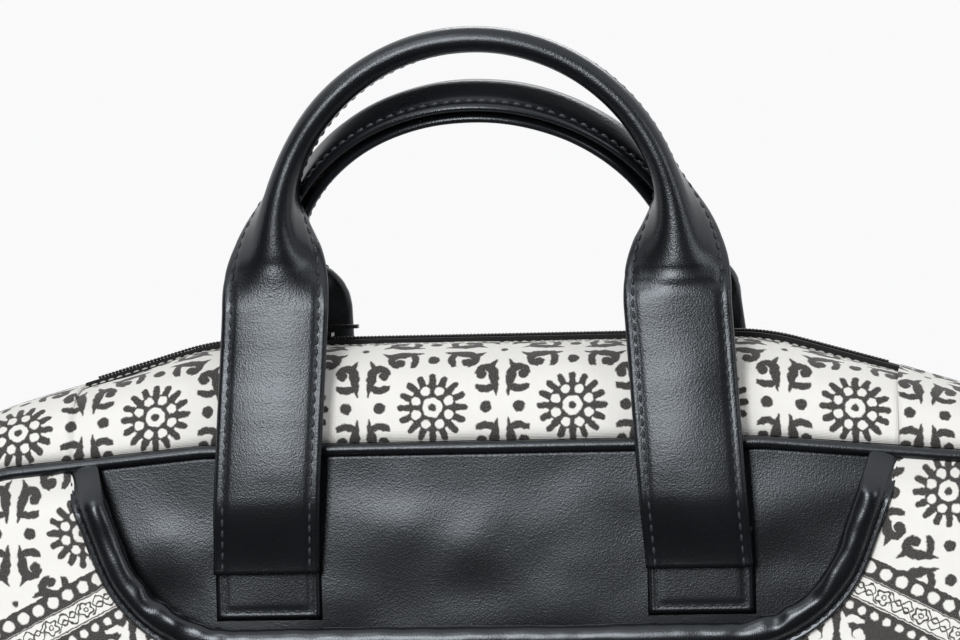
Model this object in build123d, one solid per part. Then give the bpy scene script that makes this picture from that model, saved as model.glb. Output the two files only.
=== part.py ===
"""Soft laptop bag: sewn panels and gussets, a zipped crown, a scooped front pocket and two rolled handles.

Frame: +Z up, the front faces -Y, +X to the right seen from the front.
The origin is the middle of the flat base.
Lengths are in millimetres.
"""

import math
import os

from build123d import *

# Bag body
panel_width = 410.0
panel_height = 285.0
shoulder_drop = 9.0
crown_half = 105.0
bag_depth = 76.0
base_corner_radius = 28.0
shoulder_radius = 30.0
crown_radius = 90.0
ridge_rise = 37.0
ridge_shoulder_rise = 16.0
side_bulge = 4.0
cloth_wall = 2.2
panel_wall = 2.4
base_wrap = 34.0
top_panel_half = 155.0

# Piping cord sewn into both panel seams
piping_radius = 2.4
seam_gap = 0.1

# Padding, divider and base board inside the body
foam_thickness = 5.0
foam_margin = 4.0
divider_thickness = 4.0
divider_offset = 12.0
divider_height = 230.0
board_thickness = 2.0

# Front pocket with its scooped mouth
pocket_depth = 12.0
pocket_wall = 1.8
pocket_edge_radius = 8.0
mouth_top_half = 151.0
mouth_bottom_half = 126.0
mouth_drop = 74.0
mouth_radius = 50.0
binding_width = 13.0
binding_thickness = 8.0

# Handles: flat straps that fold into a rolled grip
handle_half_spacing = 81.0
arch_radius = 75.0
strap_width = 40.0
strap_thickness = 3.2
strap_end_height = 237.0
strap_edge_radius = 1.4
strap_clearance = 0.3
fold_start_height = 335.0
arch_centre_height = 359.0
grip_width = 9.0
grip_depth = 19.0
grip_edge_radius = 4.2
fold_middle_width = 25.0
fold_middle_depth = 10.0
fold_middle_edge_radius = 3.0
fold_middle_angle = 6.0
fold_end_angle = 23.0
core_radius = 2.6
core_end_angle = 29.0
back_lean = 33.5
lean_height = 294.0
lean_radius = 8.0
patch_height = 33.0
patch_overlap = 15.0

# Zip
zip_slot_half = 6.0
coil_zone_half = 2.0
coil_gap_half = 0.5
coil_proud = 0.8
zip_half_length = 150.0
zip_clearance = 0.4
slider_length = 12.0
slider_width = 8.0
slider_plate = 1.4
slider_web = 0.5
left_slider_x = -80.0
right_slider_x = -66.0
lug_length = 3.6
lug_width = 2.4
pin_radius = 0.7
pin_length = 6.6
pin_lift = 2.2
pin_hole_clearance = 0.06
pull_length = 16.0
pull_width = 6.0
pull_thickness = 1.4
pull_fork_clearance = 0.25
pull_edge_radius = 1.5

# Overrun of every cutting block past what it cuts
overrun = 5.0

half_width = panel_width / 2
half_depth = bag_depth / 2
shoulder_height = panel_height - shoulder_drop
ridge_height = panel_height + ridge_rise
panel_face = half_depth + panel_wall
strap_plane = half_depth + 2 * piping_radius + strap_clearance
above_all = ridge_height + ridge_rise + overrun


def outline_at(y, half, low, shoulder, crown, crown_end, corner, shoulder_corner):
    """Closed outline at depth y: flat base, round corners and a crown that rises to the middle."""
    right = [(half, low), (half, shoulder), (crown_end, crown)]
    points = [(-half, low), *right, (-crown_end, crown), (-half, shoulder)]
    radii = [corner, corner, shoulder_corner, crown_radius, crown_radius, shoulder_corner]
    flat = FilletPolyline(*points, radius=radii, close=True)
    return Plane(origin=(0, y, 0), x_dir=(1, 0, 0), z_dir=(0, -1, 0)) * Wire(flat.edges())


def panel_outline(y, inset):
    """Outline of a panel seam, taken in by inset."""
    return outline_at(
        y, half_width - inset, inset, shoulder_height - inset, panel_height - inset, crown_half,
        base_corner_radius - inset, shoulder_radius - inset)


def ridge_outline(y, inset):
    """Outline of the band at the zip, where it stands above the panels, taken in by inset."""
    return outline_at(
        y, half_width + side_bulge - inset, inset, shoulder_height + ridge_shoulder_rise - inset,
        ridge_height - inset, crown_half, base_corner_radius - inset, shoulder_radius - inset)


def band_solid(inset):
    """The body between its two panel seams, taken in by inset."""
    sections = [
        panel_outline(-half_depth, inset),
        ridge_outline(-zip_slot_half, inset),
        ridge_outline(zip_slot_half, inset),
        panel_outline(half_depth, inset),
    ]
    return Solid.make_loft(sections, ruled=True)


def block(x0, x1, y0, y1, z0, z1):
    """Box between two corners."""
    return Pos((x0 + x1) / 2, (y0 + y1) / 2, (z0 + z1) / 2) * Box(x1 - x0, y1 - y0, z1 - z0)


def plate(outline, thickness, outward):
    """Flat sheet of that outline, thickened along Y in the outward sense."""
    return extrude(make_face(outline.edges()), amount=thickness, dir=(0, outward, 0))


def make_body():
    """Gussets, base, panels and piping of the body."""
    band = band_solid(0) - band_solid(cloth_wall)
    wide = half_width + side_bulge + overrun
    deep = half_depth + overrun
    top = block(-top_panel_half, top_panel_half, -deep, deep, base_wrap, above_all)
    base = block(-wide, wide, -deep, deep, -overrun, base_wrap)
    slot = block(-top_panel_half, top_panel_half, -zip_slot_half, zip_slot_half, base_wrap, above_all)
    parts = {"base_panel": band & base}
    for name, sign in (("front", -1), ("back", 1)):
        side = block(-wide, wide, min(0, sign * deep), max(0, sign * deep), -overrun, above_all)
        parts[f"top_gusset_{name}"] = (band & top & side) - slot
        inset = 2 * piping_radius + seam_gap
        parts[f"{name}_panel"] = plate(panel_outline(sign * half_depth, inset), panel_wall, sign)
        path = panel_outline(sign * (half_depth + piping_radius), piping_radius)
        start = path @ 0
        section = Plane(origin=start, z_dir=path % 0) * Circle(piping_radius)
        parts[f"piping_{name}"] = sweep(section, path=path)
    for name, sign in (("left", -1), ("right", 1)):
        x0, x1 = sorted((sign * top_panel_half, sign * wide))
        parts[f"side_gusset_{name}"] = band & block(x0, x1, -deep, deep, base_wrap, above_all)
    return parts, band & slot


def make_padding():
    """Foam behind each panel, the laptop divider and the base board."""
    inset = cloth_wall + foam_margin
    floor = cloth_wall + board_thickness
    foam = {}
    for name, sign in (("front", -1), ("back", 1)):
        sheet = plate(panel_outline(sign * half_depth, inset), foam_thickness, -sign)
        foam[f"foam_{name}"] = sheet
    reach = half_width - inset
    foam_inner = half_depth - foam_thickness
    divider = block(
        -reach, reach, divider_offset - divider_thickness / 2, divider_offset + divider_thickness / 2,
        floor, floor + divider_height)
    corners = [edge for edge in divider.edges().filter_by(Axis.Y) if edge.center().Z < panel_height / 2]
    divider = fillet(corners, base_corner_radius)
    flat_half = half_width - base_corner_radius
    board = block(-flat_half, flat_half, -foam_inner, foam_inner, cloth_wall, floor)
    foam["laptop_divider"] = divider
    foam["base_board"] = board
    return foam


def mouth_path(y):
    """Line of the pocket's scooped edge at depth y."""
    top = panel_height - 2 * piping_radius - seam_gap
    low = panel_height - mouth_drop
    left = [(-mouth_top_half, top), (-mouth_bottom_half, low)]
    right = [(mouth_bottom_half, low), (mouth_top_half, top)]
    flat = FilletPolyline(*left, *right, radius=[mouth_radius, mouth_radius])
    return Plane(origin=(0, y, 0), x_dir=(1, 0, 0), z_dir=(0, -1, 0)) * Wire(flat.edges())


def make_pocket():
    """Shallow front pocket, scooped at the top, with a padded binding round its mouth."""
    inset = 2 * piping_radius + seam_gap
    front = -panel_face - pocket_depth
    shell = plate(panel_outline(-panel_face, inset), pocket_depth, -1)
    rim = [edge for edge in shell.faces().sort_by(Axis.Y)[0].edges()]
    shell = fillet(rim, pocket_edge_radius)
    hollow = plate(panel_outline(-panel_face, inset + pocket_wall), pocket_depth - pocket_wall, -1)
    rim = [edge for edge in hollow.faces().sort_by(Axis.Y)[0].edges()]
    hollow = fillet(rim, pocket_edge_radius - pocket_wall)
    edge_y = front + pocket_wall / 2
    path = mouth_path(edge_y)
    lid_right = (mouth_top_half, edge_y, above_all)
    lid_left = (-mouth_top_half, edge_y, above_all)
    lid = Polyline(path @ 1, lid_right, lid_left, path @ 0)
    mouth = make_face([*path.edges(), *lid.edges()])
    cut = extrude(mouth, amount=pocket_depth + overrun, dir=(0, 1, 0), both=True)
    frame = Plane(origin=path @ 0, x_dir=(0, 1, 0), z_dir=path % 0)
    section = frame * RectangleRounded(binding_thickness, binding_width, binding_thickness / 2 - seam_gap)
    binding = sweep(section, path=path)
    return {"pocket_panel": shell - hollow - cut - binding, "pocket_binding": binding}


def strap_section(x, y_front, z, tilt, width, depth, radius):
    """Rounded section of a strap whose show face stays at y_front, on a plane turned by tilt about Y."""
    turn = math.radians(tilt)
    frame = Plane(
        origin=(x, y_front + depth / 2, z), x_dir=(math.cos(turn), 0, math.sin(turn)),
        z_dir=(-math.sin(turn), 0, math.cos(turn)))
    return frame * RectangleRounded(width, depth, radius)


def flat_section(x, y_front, z):
    """Level section of the flat strap."""
    return strap_section(x, y_front, z, 0, strap_width, strap_thickness, strap_edge_radius)


def arch_point(angle):
    """Place on the right half of the handle's arch, angle counted from its spring line."""
    turn = math.radians(angle)
    return arch_radius * math.cos(turn), arch_centre_height + arch_radius * math.sin(turn)


def strap_x(z):
    """Middle of the right strap at the height z; the straps close in towards the arch."""
    rise = (z - strap_end_height) / (fold_start_height - strap_end_height)
    return handle_half_spacing + (arch_radius - handle_half_spacing) * rise


def strap_length(x_low, low, x_high, high, y_front):
    """Flat length of strap between two heights, with level ends."""
    section = flat_section(x_low, y_front, low)
    run, rise = x_high - x_low, high - low
    return extrude(section, amount=math.hypot(run, rise), dir=(run, 0, rise))


def handle_right(low):
    """Right leg of an upright front handle from the height low to the end of its fold."""
    y_front = -strap_plane - strap_thickness
    strap = strap_length(strap_x(low), low, arch_radius, fold_start_height, y_front)
    x_mid, z_mid = arch_point(fold_middle_angle)
    x_end, z_end = arch_point(fold_end_angle)
    sections = [
        flat_section(arch_radius, y_front, fold_start_height),
        strap_section(
            x_mid, y_front, z_mid, fold_middle_angle,
            fold_middle_width, fold_middle_depth, fold_middle_edge_radius),
        strap_section(x_end, y_front, z_end, fold_end_angle, grip_width, grip_depth, grip_edge_radius),
    ]
    return strap + loft(sections)


def arch_solid(section, end_angle):
    """Section at end_angle turned along the arch to the same place on the other side."""
    axis = Axis((0, 0, arch_centre_height), (0, -1, 0))
    return revolve(section, axis=axis, revolution_arc=180 - 2 * end_angle)


def upright_handle(low):
    """Front handle above the height low, and its cord core."""
    y_front = -strap_plane - strap_thickness
    x_end, z_end = arch_point(fold_end_angle)
    grip = arch_solid(
        strap_section(x_end, y_front, z_end, fold_end_angle, grip_width, grip_depth, grip_edge_radius),
        fold_end_angle)
    x_core, z_core = arch_point(core_end_angle)
    core_frame = strap_section(
        x_core, y_front, z_core, core_end_angle, grip_width, 2 * grip_edge_radius, core_radius).face()
    core_plane = Plane(core_frame.center(), z_dir=core_frame.normal_at())
    core = arch_solid(core_plane * Circle(core_radius), core_end_angle)
    leg = handle_right(low)
    return grip + leg + mirror(leg, Plane.YZ) - core, core


def make_handles():
    """Both handles with their cores, and the patches that their ends are sewn to."""
    front, front_core = upright_handle(strap_end_height)
    parts = {"front_handle": front, "front_handle_core": front_core}
    upper, core = (mirror(shape, Plane.XZ) for shape in upright_handle(lean_height))
    hinge = Axis((0, strap_plane - lean_radius, lean_height), (1, 0, 0))
    back = upper.rotate(hinge, back_lean)
    parts["back_handle_core"] = core.rotate(hinge, back_lean)
    for sign in (-1, 1):
        x_low, x_high = sign * handle_half_spacing, sign * strap_x(lean_height)
        back += strap_length(x_low, strap_end_height, x_high, lean_height, strap_plane)
        bend = flat_section(x_high, strap_plane, lean_height)
        back += revolve(bend, axis=hinge, revolution_arc=back_lean)
    parts["back_handle"] = back
    patch_top = strap_end_height + patch_overlap
    for name, sign in (("front", -1), ("back", 1)):
        for side, x in (("left", -handle_half_spacing), ("right", handle_half_spacing)):
            y0, y1 = sorted((sign * panel_face, sign * (strap_plane - strap_clearance)))
            parts[f"{name}_patch_{side}"] = block(
                x - strap_width / 2, x + strap_width / 2, y0, y1, patch_top - patch_height, patch_top)
    return parts


def make_zip(tape_zone):
    """Tapes and coils along the ridge, two sliders and their pulls."""
    parts = {}
    reach = zip_half_length
    raised = make_face(ridge_outline(coil_zone_half, -coil_proud).edges())
    lowered = make_face(ridge_outline(coil_zone_half, cloth_wall).edges())
    proud = extrude(raised, amount=2 * coil_zone_half, dir=(0, -1, 0))
    proud -= extrude(lowered, amount=2 * coil_zone_half, dir=(0, -1, 0))
    for name, sign in (("front", -1), ("back", 1)):
        y0, y1 = sorted((sign * coil_zone_half, sign * zip_slot_half))
        strip = block(-top_panel_half, top_panel_half, y0, y1, base_wrap, above_all)
        parts[f"zip_tape_{name}"] = tape_zone & strip
        y0, y1 = sorted((sign * coil_gap_half, sign * coil_zone_half))
        parts[f"zip_coil_{name}"] = proud & block(-reach, reach, y0, y1, base_wrap, above_all)
    plate_low = ridge_height + coil_proud + zip_clearance
    plate_top = plate_low + slider_plate
    under_top = ridge_height - cloth_wall - zip_clearance
    pin_height = plate_top + pin_lift
    for name, x, sense in (("left", left_slider_x, -1), ("right", right_slider_x, 1)):
        x0, x1 = x - slider_length / 2, x + slider_length / 2
        slider = block(x0, x1, -slider_width / 2, slider_width / 2, plate_low, plate_top)
        slider += block(x0, x1, -slider_width / 2, slider_width / 2, under_top - slider_plate, under_top)
        slider += block(x0, x1, -slider_web / 2, slider_web / 2, under_top, plate_low)
        lug_top = pin_height + lug_length / 2
        slider += block(
            x - lug_length / 2, x + lug_length / 2, -lug_width / 2, lug_width / 2, plate_top, lug_top)
        slider += Pos(x, 0, pin_height) * Rot(90, 0, 0) * Cylinder(pin_radius, pin_length)
        parts[f"zip_slider_{name}"] = slider
        back_end = pull_thickness
        x_near, x_far = x - sense * back_end, x + sense * pull_length
        pull = block(
            min(x_near, x_far), max(x_near, x_far), -pull_width / 2, pull_width / 2,
            pin_height - pull_thickness / 2, pin_height + pull_thickness / 2)
        upright = pull.edges().filter_by(Axis.Z)
        corners = [edge for edge in upright if abs(edge.center().X - x) > pull_length / 2]
        pull = fillet(corners, pull_edge_radius)
        barrel = Pos(x, 0, pin_height) * Rot(90, 0, 0) * Cylinder(pull_thickness, pull_width)
        fork = lug_width / 2 + pull_fork_clearance
        clear = lug_length / 2 + pull_thickness
        pull = pull + barrel - block(x - clear, x + clear, -fork, fork, plate_top, lug_top + overrun)
        pin_hole = Cylinder(pin_radius + pin_hole_clearance, pin_length + overrun)
        pull -= Pos(x, 0, pin_height) * Rot(90, 0, 0) * pin_hole
        parts[f"zip_pull_{name}"] = pull
    return parts


def main():
    os.makedirs("parts", exist_ok=True)
    parts, tape_zone = make_body()
    parts.update(make_padding())
    parts.update(make_pocket())
    parts.update(make_handles())
    parts.update(make_zip(tape_zone))
    for name, shape in parts.items():
        export_step(Compound(children=shape.solids()), f"parts/{name}.step")


main()
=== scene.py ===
"""Looks of the laptop bag: printed canvas, grained leatherette, rolled handles, stitching and a coil zip.

Lengths are in metres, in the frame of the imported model: +Z up, the front faces -Y.
"""

import math

import bmesh
import bpy
from mathutils import Matrix, Vector, noise

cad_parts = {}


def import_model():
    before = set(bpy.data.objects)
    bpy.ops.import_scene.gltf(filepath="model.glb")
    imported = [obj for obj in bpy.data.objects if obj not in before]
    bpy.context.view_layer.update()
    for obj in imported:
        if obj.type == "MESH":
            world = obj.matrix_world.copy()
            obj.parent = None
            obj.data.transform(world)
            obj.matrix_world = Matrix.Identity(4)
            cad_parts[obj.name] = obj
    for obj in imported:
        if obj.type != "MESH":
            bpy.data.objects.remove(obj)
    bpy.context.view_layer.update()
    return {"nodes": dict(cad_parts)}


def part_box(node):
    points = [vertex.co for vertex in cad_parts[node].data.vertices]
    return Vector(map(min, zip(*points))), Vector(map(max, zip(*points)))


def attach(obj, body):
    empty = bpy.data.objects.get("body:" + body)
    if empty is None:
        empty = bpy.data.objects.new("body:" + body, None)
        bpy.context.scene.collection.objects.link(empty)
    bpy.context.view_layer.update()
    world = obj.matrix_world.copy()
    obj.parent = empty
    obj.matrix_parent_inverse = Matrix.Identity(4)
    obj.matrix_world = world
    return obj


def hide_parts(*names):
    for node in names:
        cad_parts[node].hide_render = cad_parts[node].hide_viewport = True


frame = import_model()
MM = 0.001
TINY = 1e-9

# Sizes read from the frame
piping_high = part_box("piping_front")[1]
base_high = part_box("base_panel")[1]
tape_low, tape_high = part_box("zip_tape_front")
side_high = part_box("side_gusset_right")[1]
top_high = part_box("top_gusset_front")[1]
panel_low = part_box("front_panel")[0]
patch_low, patch_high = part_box("front_patch_right")
handle_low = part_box("front_handle")[0]
coil_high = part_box("zip_coil_front")[1]

half_width = piping_high.x
panel_height = piping_high.z
half_depth = base_high.y
base_wrap = base_high.z
ridge_height = tape_high.z
ridge_half_width = side_high.x
zip_slot_half = -tape_low.y
top_panel_half = top_high.x
panel_face = -panel_low.y
handle_spacing = (patch_low.x + patch_high.x) / 2
strap_width = patch_high.x - patch_low.x
strap_end = handle_low.z
strap_face = -handle_low.y
coil_half_length = coil_high.x

# Sizes of the construction that the boxes don't give
shoulder_drop = 9 * MM
crown_half = 105 * MM
base_corner = 28 * MM
shoulder_corner = 30 * MM
crown_corner = 90 * MM
ridge_shoulder_rise = 16 * MM
strap_thickness = 3.2 * MM
strap_plane = strap_face - strap_thickness
fold_start = 335 * MM
arch_radius = 75 * MM
arch_centre = 359 * MM
fold_end_angle = math.radians(23)
back_lean = math.radians(33.5)
lean_height = 294 * MM
lean_radius = 8 * MM
mouth_top_half = 151 * MM
mouth_bottom_half = 126 * MM
mouth_drop = 74 * MM
mouth_corner = 50 * MM
pocket_depth = 12 * MM
print_period = 52.4 * MM


# Mesh helpers

def link(obj, body, slot, *nodes):
    """Adds a piece to the scene on its body, standing for these nodes. The slot is not used."""
    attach(obj, body)
    if nodes:
        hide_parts(*nodes)
    return obj


def mesh_object(name, vertices, faces, material, uvs=None):
    """Smooth mesh with an optional flat coordinate in metres for each vertex."""
    mesh = bpy.data.meshes.new(name)
    mesh.from_pydata([tuple(v) for v in vertices], [], faces)
    if uvs:
        layer = mesh.uv_layers.new(name="metres")
        for loop in mesh.loops:
            layer.data[loop.index].uv = uvs[loop.vertex_index]
    mesh.polygons.foreach_set("use_smooth", [True] * len(mesh.polygons))
    mesh.materials.append(material)
    obj = bpy.data.objects.new(name, mesh)
    bpy.context.scene.collection.objects.link(obj)
    return obj


def grid_faces(rows, columns, closed=False):
    """Quads of a grid of vertices stored row by row; closed joins the last column to the first."""
    faces = []
    for r in range(rows - 1):
        for c in range(columns if closed else columns - 1):
            n = (c + 1) % columns
            faces.append((r * columns + c, r * columns + n, (r + 1) * columns + n, (r + 1) * columns + c))
    return faces


def sheet_piece(name, rows, uv_rows, material, thickness):
    """Cloth or leather sheet from rows of points, thickened behind its face."""
    vertices = [p for row in rows for p in row]
    uvs = [uv for row in uv_rows for uv in row]
    obj = mesh_object(name, vertices, grid_faces(len(rows), len(rows[0])), material, uvs)
    solid = obj.modifiers.new("thickness", "SOLIDIFY")
    solid.thickness = thickness
    solid.offset = -1
    return obj


def tube_faces(rows, ring, first=0, turned=False):
    """Faces of a tube of rings stored one after another, capped at both ends; turned reverses the caps."""
    faces = [tuple(first + v for v in face) for face in grid_faces(rows, ring, closed=True)]
    start = [first + r for r in range(ring)]
    end = [first + (rows - 1) * ring + r for r in range(ring)]
    if turned:
        end.reverse()
    else:
        start.reverse()
    return faces + [tuple(start), tuple(end)]


def fix_normals(obj):
    """Makes a closed mesh's faces look out."""
    work = bmesh.new()
    work.from_mesh(obj.data)
    bmesh.ops.recalc_face_normals(work, faces=work.faces)
    work.to_mesh(obj.data)
    work.free()


def face_outward(obj, outward):
    """Turns the faces of a sheet so that its middle one looks outward."""
    middle = obj.data.polygons[len(obj.data.polygons) // 2]
    if middle.normal.dot(outward) < 0:
        obj.data.flip_normals()
    return obj


def smooth_step(t):
    t = min(1.0, max(0.0, t))
    return t * t * (3 - 2 * t)


def bump_at(t, centre, width):
    return math.exp(-((t - centre) / width) ** 2)


def wobble(p, scale, seed):
    """Smooth signed noise of about one, at a feature size of scale."""
    return noise.noise(Vector(p) / scale + Vector((seed * 7.3, seed * 3.1, seed * 5.7)))


def spread(start, end, count):
    return [start + (end - start) * k / (count - 1) for k in range(count)]


def travelled(path):
    """Distance along a path to each of its points."""
    lengths = [0.0]
    for a, b in zip(path, path[1:]):
        lengths.append(lengths[-1] + (b - a).length)
    return lengths


def points_along(path, count):
    """This many points of a path, evenly spaced."""
    lengths = travelled(path)
    points, i = [], 0
    for want in spread(0.0, lengths[-1], count):
        while i < len(path) - 2 and lengths[i + 1] < want:
            i += 1
        span = max(lengths[i + 1] - lengths[i], TINY)
        points.append(path[i].lerp(path[i + 1], min(1.0, (want - lengths[i]) / span)))
    return points


def evenly(path, step):
    """Points along a path, about a step apart."""
    return points_along(path, max(2, round(travelled(path)[-1] / step) + 1))


# Outlines of the body

def round_corner(before, here, after, radius, steps):
    """Arc that rounds the corner at here, as (x, z) pairs."""
    here = Vector(here)
    back = (Vector(before) - here).normalized()
    on = (Vector(after) - here).normalized()
    half = back.angle(on) / 2
    centre = here + (back + on).normalized() * (radius / math.sin(half))
    start = here + back * (radius / math.tan(half)) - centre
    turn = math.pi - 2 * half
    return [centre + Matrix.Rotation(turn * k / steps, 2) @ start for k in range(steps + 1)]


def rounded_outline(points, radii, arc_steps=14, line_steps=24):
    """Closed outline through points with round corners, as (x, z) pairs."""
    count = len(points)
    corners = []
    for i, radius in enumerate(radii):
        corners.append(round_corner(points[i - 1], points[i], points[(i + 1) % count], radius, arc_steps))
    outline = []
    for i, corner in enumerate(corners):
        outline += corner
        end = corners[(i + 1) % count][0]
        outline += [corner[-1].lerp(end, k / line_steps) for k in range(1, line_steps)]
    return outline


def rounded_path(points, radius, steps=24):
    """Open path through points with round corners, as (x, z) pairs."""
    path = [Vector(points[0])]
    for before, here, after in zip(points, points[1:], points[2:]):
        path += round_corner(before, here, after, radius, steps)
    return path + [Vector(points[-1])]


def body_outline(half, shoulder, crown, inset=0.0):
    points = [(-half + inset, inset), (half - inset, inset), (half - inset, shoulder - inset),
              (crown_half, crown - inset), (-crown_half, crown - inset), (-half + inset, shoulder - inset)]
    radii = [base_corner - inset, base_corner - inset, shoulder_corner - inset,
             crown_corner, crown_corner, shoulder_corner - inset]
    return rounded_outline(points, radii)


panel_outline = body_outline(half_width, panel_height - shoulder_drop, panel_height)
ridge_shoulder = panel_height - shoulder_drop + ridge_shoulder_rise
ridge_outline = body_outline(ridge_half_width, ridge_shoulder, ridge_height)


def height_at(outline, x, upper):
    """Height of an outline's upper or lower edge at x."""
    best = None
    for a, b in zip(outline, outline[1:] + outline[:1]):
        if min(a.x, b.x) - TINY <= x <= max(a.x, b.x) + TINY:
            share = 0.0 if abs(b.x - a.x) < TINY else (x - a.x) / (b.x - a.x)
            z = a.y + (b.y - a.y) * share
            if best is None or (z > best if upper else z < best):
                best = z
    return best


def turn_at(p):
    """Angle of an outline point about the middle of the panel."""
    return math.atan2(p.y - panel_height / 2, p.x)


def cut_outline(outline, start, end, count):
    """Evenly spaced points of the right-hand outline from start down to end."""
    right = sorted((p for p in outline if p.x > 0), key=turn_at, reverse=True)
    kept = [start] + [p for p in right if turn_at(end) < turn_at(p) < turn_at(start)] + [end]
    return points_along(kept, count)


# Material graphs

class Graph:
    """Short hand for building a node tree of sums."""

    def __init__(self, name):
        self.material = bpy.data.materials.new(name)
        self.material.use_nodes = True
        self.tree = self.material.node_tree
        self.shader = self.tree.nodes["Principled BSDF"]

    def node(self, kind, **values):
        made = self.tree.nodes.new(kind)
        for key, value in values.items():
            setattr(made, key, value)
        return made

    def put(self, socket, value):
        if isinstance(value, bpy.types.NodeSocket):
            self.tree.links.new(value, socket)
        else:
            socket.default_value = value

    def math(self, operation, a, b=0.0, c=0.0):
        made = self.node("ShaderNodeMath", operation=operation)
        for socket, value in zip(made.inputs, (a, b, c)):
            self.put(socket, value)
        return made.outputs[0]

    def add(self, a, b):
        return self.math("ADD", a, b)

    def sub(self, a, b):
        return self.math("SUBTRACT", a, b)

    def mul(self, a, b):
        return self.math("MULTIPLY", a, b)

    def div(self, a, b):
        return self.math("DIVIDE", a, b)

    def low(self, a, b):
        return self.math("MINIMUM", a, b)

    def high(self, a, b):
        return self.math("MAXIMUM", a, b)

    def size(self, x, y):
        return self.math("SQRT", self.add(self.mul(x, x), self.mul(y, y)))

    def inside(self, distance, soft):
        """1 where distance is below zero, with an edge of width soft."""
        made = self.node("ShaderNodeMapRange", interpolation_type="SMOOTHSTEP")
        self.put(made.inputs["Value"], distance)
        made.inputs["From Min"].default_value = soft
        made.inputs["From Max"].default_value = -soft
        return made.outputs[0]

    def mix(self, share, a, b):
        made = self.node("ShaderNodeMix", data_type="RGBA")
        self.put(made.inputs[0], share)
        self.put(made.inputs[6], a)
        self.put(made.inputs[7], b)
        return made.outputs[2]

    def noise(self, vector, scale, detail=2.0):
        made = self.node("ShaderNodeTexNoise")
        self.put(made.inputs["Vector"], vector)
        made.inputs["Scale"].default_value = scale
        made.inputs["Detail"].default_value = detail
        return made.outputs[0]

    def bump(self, height, strength, distance, normal=None):
        made = self.node("ShaderNodeBump")
        made.inputs["Strength"].default_value = strength
        made.inputs["Distance"].default_value = distance
        self.put(made.inputs["Height"], height)
        if normal:
            self.put(made.inputs["Normal"], normal)
        return made.outputs[0]


INK = (0.028, 0.024, 0.023, 1)
GROUND = (0.83, 0.825, 0.80, 1)
EDGE = 0.006

# Print motif, in shares of its period: widths and radii, and places from the middle of the rosette
ray_count = 16
ray_share = 0.034
ray_taper = 0.045
ray_start_share = 0.14
ray_end_share = 0.230
hole_ring_share = 0.128
hole_share = 0.033
disc_share = 0.170
eye_ring_share = 0.070
eye_share = 0.028
dot_place_share = 0.380
dot_share = 0.042
corner_dot_share = 0.025
lower_stem_shares = (0.440, 0.215, 0.460, 0.082, 0.038, 0.006)
upper_stem_shares = (0.440, 0.215, 0.424, 0.285, 0.038, 0.032)
leaf_shares = (0.410, 0.290, 0.456, 0.370, 0.035, 0.005)
ball_shares = (0.348, 0.242, 0.039)
curl_shares = (0.386, 0.247, 0.056, 0.030)
hook_shares = (0.380, 0.208, 0.078, 0.027)
hook_top_share = 0.165
hook_side_share = 0.306


def tile_ink(g, u, v):
    """Ink distance of one print tile: sun rosette, scrolls mirrored in each corner, dots."""
    def fold(t):
        return g.math("ABSOLUTE", g.sub(g.math("FRACT", g.add(t, 0.5)), 0.5))
    a0, b0 = fold(u), fold(v)
    a, b = g.high(a0, b0), g.low(a0, b0)
    radius = g.size(a0, b0)
    turn = g.math("ARCTAN2", b0, a0)
    ray = 2 * math.pi / ray_count
    ray_turn = g.sub(g.math("FRACT", g.add(g.div(turn, ray), 0.5)), 0.5)
    across = g.mul(g.math("ABSOLUTE", g.mul(ray_turn, ray)), radius)
    past = g.high(g.sub(radius, ray_end_share), 0.0)
    rays = g.sub(g.size(past, across), g.sub(ray_share, g.mul(radius, ray_taper)))
    rays = g.high(rays, g.sub(ray_start_share, radius))
    hole_turn = g.mul(g.sub(g.math("FRACT", g.div(turn, 2 * ray)), 0.5), 2 * ray)
    hole_x = g.sub(g.mul(radius, g.math("COSINE", hole_turn)), hole_ring_share)
    hole_y = g.mul(radius, g.math("SINE", hole_turn))
    holes = g.sub(g.size(hole_x, hole_y), hole_share)
    disc = g.high(g.sub(radius, disc_share), g.sub(eye_ring_share, radius))
    rosette = g.low(g.high(g.low(rays, disc), g.mul(holes, -1)), g.sub(radius, eye_share))

    def spot(at_a, at_b, size):
        return g.sub(g.size(g.sub(a, at_a), g.sub(b, at_b)), size)

    def ring(at_a, at_b, size, half):
        return g.sub(g.math("ABSOLUTE", spot(at_a, at_b, size)), half)

    def limb(start_a, start_b, end_a, end_b, start, end):
        """Straight stroke from one place to another whose half width goes from start to end."""
        run_a, run_b = end_a - start_a, end_b - start_b
        length = run_a ** 2 + run_b ** 2
        along = g.add(g.mul(g.sub(a, start_a), run_a / length), g.mul(g.sub(b, start_b), run_b / length))
        along = g.low(g.high(along, 0.0), 1.0)
        off_a = g.sub(g.sub(a, start_a), g.mul(along, run_a))
        off_b = g.sub(g.sub(b, start_b), g.mul(along, run_b))
        return g.sub(g.size(off_a, off_b), g.add(start, g.mul(along, end - start)))

    curl = g.high(ring(*curl_shares), g.sub(curl_shares[1], b))
    hook = g.high(ring(*hook_shares), g.sub(b, hook_top_share))
    hook = g.high(hook, g.sub(hook_side_share, a))
    ink = rosette
    for stroke in (lower_stem_shares, upper_stem_shares, leaf_shares):
        ink = g.low(ink, limb(*stroke))
    dots = g.low(spot(dot_place_share, 0.0, dot_share), spot(0.5, 0.5, corner_dot_share))
    return g.low(g.low(ink, spot(*ball_shares)), g.low(g.low(curl, hook), dots))


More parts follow.
